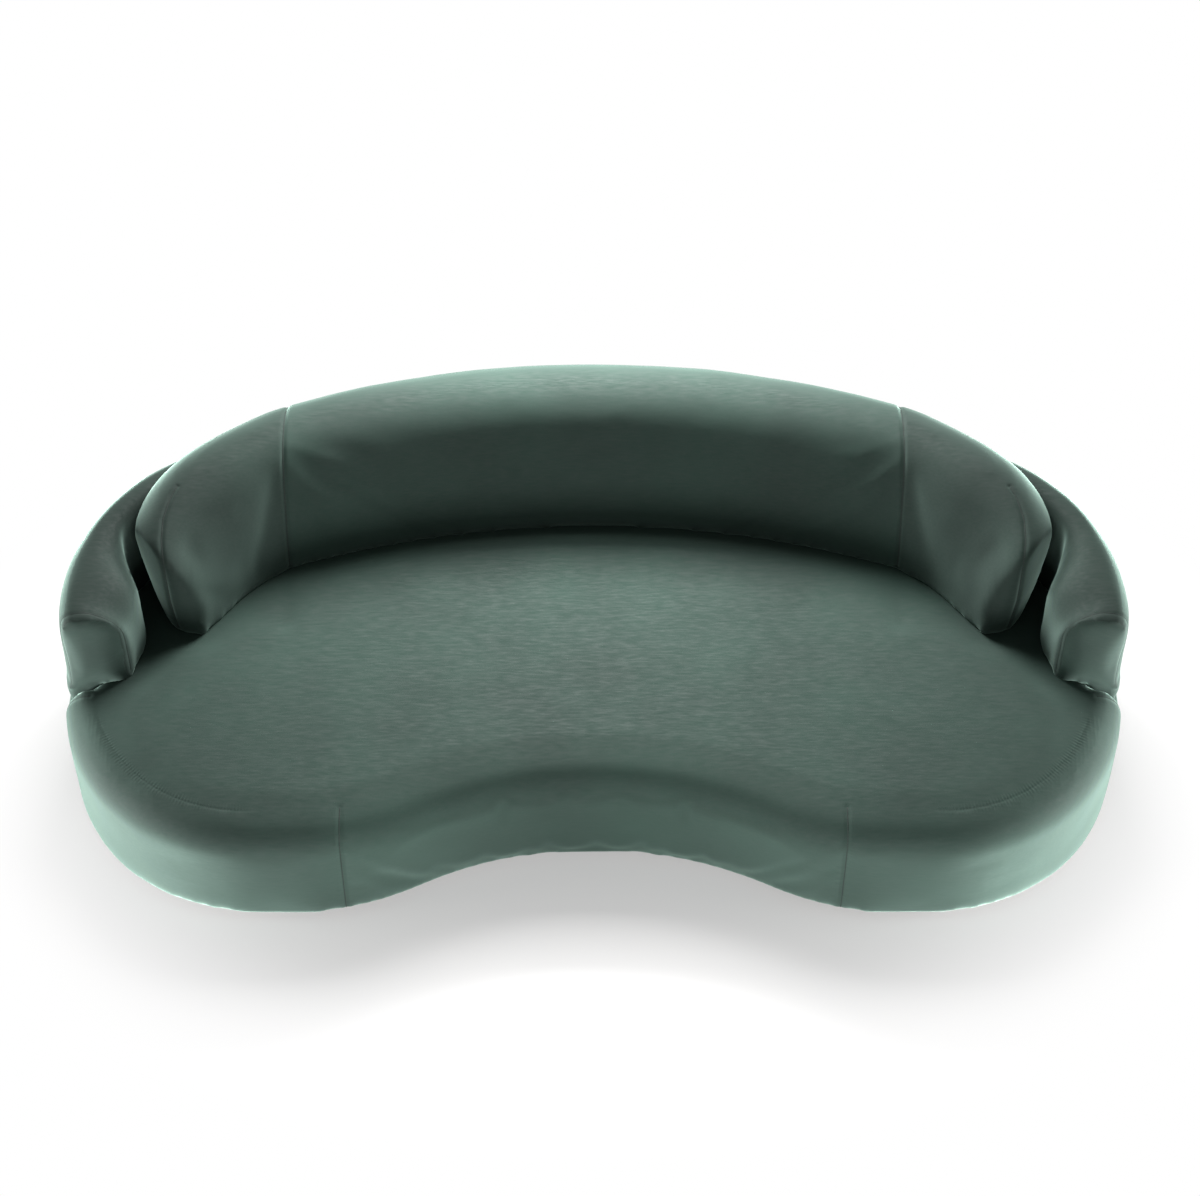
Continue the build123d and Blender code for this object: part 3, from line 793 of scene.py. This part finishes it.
# The back's upright seams: up the front, over the top and down the rear
middle = Vector((-back_seam_x, 0.39, 0.56))
path = arc_touches(back_tree, middle, to_front, range(-44, 181, 4), reach=1)
for step in range(1, rear_steps + 1):
    z = middle.z - step * (middle.z - border_top - 2 * seam_foot) / rear_steps
    path.append(level_touch(back_tree, -back_seam_x, rear_y, z))
crease("back_seams", both_sides(path, back, back), width=0.0018, depth=0.004)

# The sewn edge of the back's end: up its front corner and back over its top
end_seam = ((-1.100, 0.185, 0.722), (-1.112, 0.162, 0.716), (-1.119, 0.142, 0.711), (-1.125, 0.121, 0.703),
            (-1.132, 0.094, 0.693), (-1.133, 0.068, 0.683), (-1.134, 0.044, 0.671), (-1.132, 0.021, 0.657),
            (-1.129, 0.003, 0.638), (-1.128, -0.006, 0.600), (-1.128, -0.008, 0.549),
            (-1.127, -0.009, 0.489), (-1.123, -0.012, 0.451), (-1.119, -0.016, 0.414),
            (-1.116, -0.018, 0.385))
path = [back_tree.find_nearest(Vector(place))[0] for place in end_seam]
crease("end_seams", both_sides(path, back, back), width=0.0018, depth=0.003)

# The seam round the arm's front panel, which leans back a little at its upper outer corner.
# The outline gives reach from the end's centre, height and lean in degrees; the levels are in millimetres
arm_outer = end_radius - 0.010
arm_inner = arm_outer - 0.188
outer_round, inner_round = 0.045, 0.110
panel_turn, panel_lean = 12, 3.5
outer_foot, outer_rise = 390, 210
outer_levels, inner_levels = range(outer_foot, outer_foot + outer_rise, 15), range(520, 375, -15)
outline = [(arm_outer, z / 1000, panel_lean * (z - outer_foot) / outer_rise) for z in outer_levels]
for turn in range(0, 91, 10):
    outline.append((arm_outer - outer_round + outer_round * cos(radians(turn)),
                    arm_top - outer_round + outer_round * sin(radians(turn)), panel_lean))
for turn in range(90, -1, -8):
    outline.append((arm_inner + inner_round - inner_round * cos(radians(turn)),
                    arm_top - inner_round + inner_round * sin(radians(turn)), panel_lean * turn / 90))
outline += [(arm_inner, z / 1000, 0) for z in inner_levels]
path = []
for reach, z, lean in outline:
    turn = radians(lean - panel_turn)
    edge = end_centre + Vector((-reach * cos(turn), reach * sin(turn), z))
    path.append(arm_tree.find_nearest(edge)[0])

# The cover is pinched over the shoulder just in front of the arm
pinch_ahead = 0.016
pinch_centre = Vector((shoulder_radius - half_width, arms_front_y - pinch_ahead, border_top))
pinch = arc_touches(base_tree, pinch_centre, to_left, range(20, 86, 5), roll_reach)
crease("arm_seams", [*both_sides(path, arms["left"], arms["right"]), *both_sides(pinch, base, base)],
       width=0.0012, depth=0.0012)


# The back's three lengths, parted at its seams

def part_of_back(label, *cuts):
    """The length of the back on the kept side of each cut, closed where it is cut."""
    bm = bmesh.new()
    bm.from_mesh(back.data)
    for place, keep in cuts:
        made = bmesh.ops.bisect_plane(bm, geom=bm.verts[:] + bm.edges[:] + bm.faces[:], dist=0.00005,
                                      plane_co=place, plane_no=keep, clear_inner=True)
        rim = [e for e in made["geom_cut"] if isinstance(e, bmesh.types.BMEdge)]
        bmesh.ops.triangle_fill(bm, edges=rim, use_beauty=True)
        for edge in rim:
            edge.smooth = False
    bmesh.ops.holes_fill(bm, edges=[e for e in bm.edges if e.is_boundary], sides=0)
    bmesh.ops.recalc_face_normals(bm, faces=bm.faces)
    return new_piece(label, bm)


def dress(piece, cloth, fill, *replaced):
    """The piece's cover, its place in the frame and the solids it stands for."""
    piece.data.materials.clear()
    piece.data.materials.append(cloth)
    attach(piece, "root")
    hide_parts(*replaced)


left_cut, right_cut = (-back_seam_x, 0, 0), (back_seam_x, 0, 0)
foot_slack = 0.004
foot_cut = ((0, 0, back_foot - foot_slack), (0, 0, 1))
back_middle = part_of_back("back_centre", (left_cut, (1, 0, 0)), (right_cut, (-1, 0, 0)))
back_left = part_of_back("back_left", (left_cut, (-1, 0, 0)), foot_cut)
back_right = part_of_back("back_right", (right_cut, (1, 0, 0)), foot_cut)
bpy.data.objects.remove(back)

seat_fill, back_fill, arm_fill = 0.85, 0.8, 0.8
border_names = [n for n in nodes if n.startswith(("border_cover", "base_wadding"))]
dress(base, velvet, seat_fill, "seat_cover", "seat_foam", *border_names)
dress(back_middle, shaded_back_velvet, back_fill, "back_cover_centre", "back_pad_centre", "rear_cover", "rear_pad")
dress(back_left, shaded_end_velvet, back_fill, "back_cover_left", "back_pad_left", "back_end_border_left")
dress(back_right, shaded_end_velvet, back_fill, "back_cover_right", "back_pad_right", "back_end_border_right")

# The arms' front panels and the outside of the wall take the back's copy, less darkened than the arms' own,
# so the painted shade on the arms is deepest on their tops and insides
outer_lean, outer_inset = 0.3, 0.04
front_lean, front_reach = -0.75, 0.05
for side, arm in arms.items():
    dress(arm, shaded_arm_velvet, arm_fill, *[f"{word}_{side}" for word in arm_words])
    arm.data.materials.append(shaded_back_velvet)
    middle_x = end_centre.x if side == "left" else -end_centre.x
    for face in arm.data.polygons:
        outward = Vector((face.center.x - middle_x, face.center.y - end_centre.y, 0)).normalized()
        on_wall = face.normal.dot(outward) > outer_lean and inset_of(face.center) < outer_inset
        on_front = face.normal.y < front_lean and face.center.y < arms_front_y + front_reach
        if on_wall or on_front:
            face.material_index = 1


# Floor, light and camera

def seen_rays(tree):
    """One for rays that only show the stage, none for those that light the sofa."""
    rays = tree.nodes.new("ShaderNodeLightPath")
    seen = rays.outputs["Is Camera Ray"]
    for kind in ("Is Glossy Ray", "Is Transmission Ray"):
        either = tree.nodes.new("ShaderNodeMath")
        either.operation = "MAXIMUM"
        tree.links.new(seen, either.inputs[0])
        tree.links.new(rays.outputs[kind], either.inputs[1])
        seen = either.outputs["Value"]
    return seen


def stage_floor():
    """A pale floor that takes the sofa's shadow and fades to white away from it."""
    bm = bmesh.new()
    bmesh.ops.create_grid(bm, x_segments=1, y_segments=1, size=30)
    floor = new_piece("floor", bm)
    material = bpy.data.materials.new("pale_floor")
    material.use_nodes = True
    tree = material.node_tree
    shader = tree.nodes["Principled BSDF"]
    shader.inputs["Base Color"].default_value = (0.71, 0.70, 0.695, 1)
    shader.inputs["Roughness"].default_value = 0.9
    shader.inputs["Specular IOR Level"].default_value = 0.1
    glow = tree.nodes.new("ShaderNodeEmission")
    mix = tree.nodes.new("ShaderNodeMixShader")
    place = tree.nodes.new("ShaderNodeTexCoord")
    squash = tree.nodes.new("ShaderNodeMapping")
    squash.inputs["Location"].default_value = (0, 0.05, 0)
    squash.inputs["Scale"].default_value = (0.50, 0.72, 1)
    ball = tree.nodes.new("ShaderNodeTexGradient")
    ball.gradient_type = "SPHERICAL"
    fade = tree.nodes.new("ShaderNodeMapRange")
    fade.interpolation_type = "SMOOTHSTEP"
    fade.inputs["From Min"].default_value = 0.02
    fade.inputs["From Max"].default_value = 0.42
    fade.inputs["To Min"].default_value = 1
    fade.inputs["To Max"].default_value = 0.4
    share = tree.nodes.new("ShaderNodeMath")
    share.operation = "MULTIPLY"
    link = tree.links.new
    link(place.outputs["Object"], squash.inputs["Vector"])
    link(squash.outputs["Vector"], ball.inputs["Vector"])
    link(ball.outputs["Fac"], fade.inputs["Value"])
    link(seen_rays(tree), share.inputs[0])
    link(fade.outputs["Result"], share.inputs[1])
    link(share.outputs["Value"], mix.inputs["Fac"])
    link(shader.outputs["BSDF"], mix.inputs[1])
    link(glow.outputs["Emission"], mix.inputs[2])
    link(mix.outputs["Shader"], tree.nodes["Material Output"].inputs["Surface"])
    floor.data.materials.append(material)


def stage_world():
    """A white background that lights the sofa only faintly."""
    world = bpy.data.worlds.new("studio")
    scene.world = world
    world.use_nodes = True
    tree = world.node_tree
    light = tree.nodes["Background"]
    light.inputs["Color"].default_value = (1, 1, 1, 1)
    light.inputs["Strength"].default_value = 0.08
    white = tree.nodes.new("ShaderNodeBackground")
    mix = tree.nodes.new("ShaderNodeMixShader")
    link = tree.links.new
    link(seen_rays(tree), mix.inputs["Fac"])
    link(light.outputs["Background"], mix.inputs[1])
    link(white.outputs["Background"], mix.inputs[2])
    link(mix.outputs["Shader"], tree.nodes["World Output"].inputs["Surface"])


def softbox(label, place, aim, width, depth, power):
    """A rectangular lamp that the camera doesn't see."""
    lamp = bpy.data.lights.new(label, "AREA")
    lamp.shape = "RECTANGLE"
    lamp.size = width
    lamp.size_y = depth
    lamp.energy = power
    box = bpy.data.objects.new(label, lamp)
    box.location = place
    box.visible_camera = False
    box.rotation_euler = (Vector(aim) - Vector(place)).to_track_quat("-Z", "Y").to_euler()
    scene.collection.objects.link(box)


stage_floor()
stage_world()
softbox("rear_key", (0, 1.9, 3.2), (0, 0.0, 0.4), width=2.2, depth=1.4, power=205)
softbox("top_strip", (0, 1.15, 1.6), (0, 0.5, 0.72), width=1.0, depth=0.4, power=105)
softbox("front_low", (0, -2.2, 0.14), (0, -0.6, 0.12), width=2.4, depth=0.24, power=60)
softbox("left_side", (-3.0, -0.7, 0.22), (-1.3, -0.4, 0.18), width=1.0, depth=0.4, power=128)
softbox("right_side", (3.0, -0.7, 0.22), (1.3, -0.4, 0.18), width=1.0, depth=0.4, power=128)

lens = bpy.data.cameras.new("camera")
lens.sensor_fit = "HORIZONTAL"
lens.sensor_width = 36
lens.lens = 85.8
lens.shift_x = 0.0054
camera = bpy.data.objects.new("camera", lens)
camera.location = (0, -4.897, 6.3225)
camera.rotation_euler = (radians(40), 0, 0)
scene.collection.objects.link(camera)
scene.camera = camera
